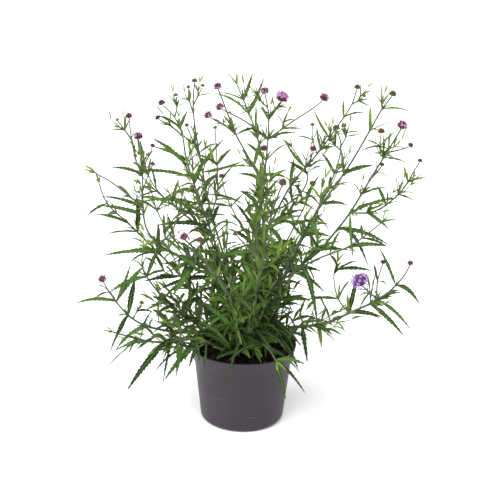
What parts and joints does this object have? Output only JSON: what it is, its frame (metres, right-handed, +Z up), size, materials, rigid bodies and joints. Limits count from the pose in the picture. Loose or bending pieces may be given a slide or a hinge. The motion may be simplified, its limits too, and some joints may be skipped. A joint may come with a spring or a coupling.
{
  "type": "potted verbena",
  "caption": "Tall branching garden verbena with toothed leaves and small maroon and lilac flower heads, growing in soil in a round tapered nursery pot.",
  "frame": {"origin": "centre of the pot's flat underside", "axes": "+Z up out of the pot, -Y towards the side that the picture shows"},
  "size_m": [0.5863, 0.5495, 0.6249],
  "materials": {
    "pot": "satin",
    "soil": "matte",
    "foliage": "matte",
    "maroon": "matte",
    "lilac": "matte"
  },
  "bodies": {
    "root": {"head_back_left_1": "maroon", "head_back_mid_1": "maroon", "head_back_mid_2": "maroon", "head_back_right_1": "maroon", "head_centre_1": "maroon", "head_centre_2": "maroon", "head_centre_3": "maroon", "head_centre_4": "lilac", "head_centre_front_1": "maroon", "head_centre_front_2": "maroon", "head_front_left_1": "maroon", "head_front_left_2": "maroon", "head_front_right_1": "maroon", "head_left_arch_1": "maroon", "head_left_arch_2": "maroon", "head_left_arch_3": "maroon", "head_left_arch_4": "maroon", "head_left_back_1": "maroon", "head_left_back_2": "maroon", "head_left_low_1": "maroon", "head_left_upright_1": "maroon", "head_left_upright_2": "maroon", "head_left_upright_3": "maroon", "head_right_arch_1": "maroon", "head_right_arch_2": "maroon", "head_right_arch_3": "maroon", "head_right_arch_4": "maroon", "head_right_back_1": "maroon", "head_right_back_2": "maroon", "head_right_back_3": "maroon", "head_right_inner_1": "maroon", "head_right_inner_2": "maroon", "head_right_low_1": "maroon", "head_right_low_2": "lilac", "head_right_low_3": "maroon", "head_right_tall_1": "maroon", "pot": "pot", "soil": "soil", "stem_back_left": "foliage", "stem_back_mid": "foliage", "stem_back_right": "foliage", "stem_centre": "foliage", "stem_centre_back": "foliage", "stem_centre_front": "foliage", "stem_front_left": "foliage", "stem_front_right": "foliage", "stem_left_arch": "foliage", "stem_left_back": "foliage", "stem_left_low": "foliage", "stem_left_mid": "foliage", "stem_left_outer": "foliage", "stem_left_shoot": "foliage", "stem_left_upright": "foliage", "stem_right_arch": "foliage", "stem_right_back": "foliage", "stem_right_inner": "foliage", "stem_right_low": "foliage", "stem_right_tall": "foliage", "stem_rim_shoot": "foliage"}
  },
  "joints": []
}
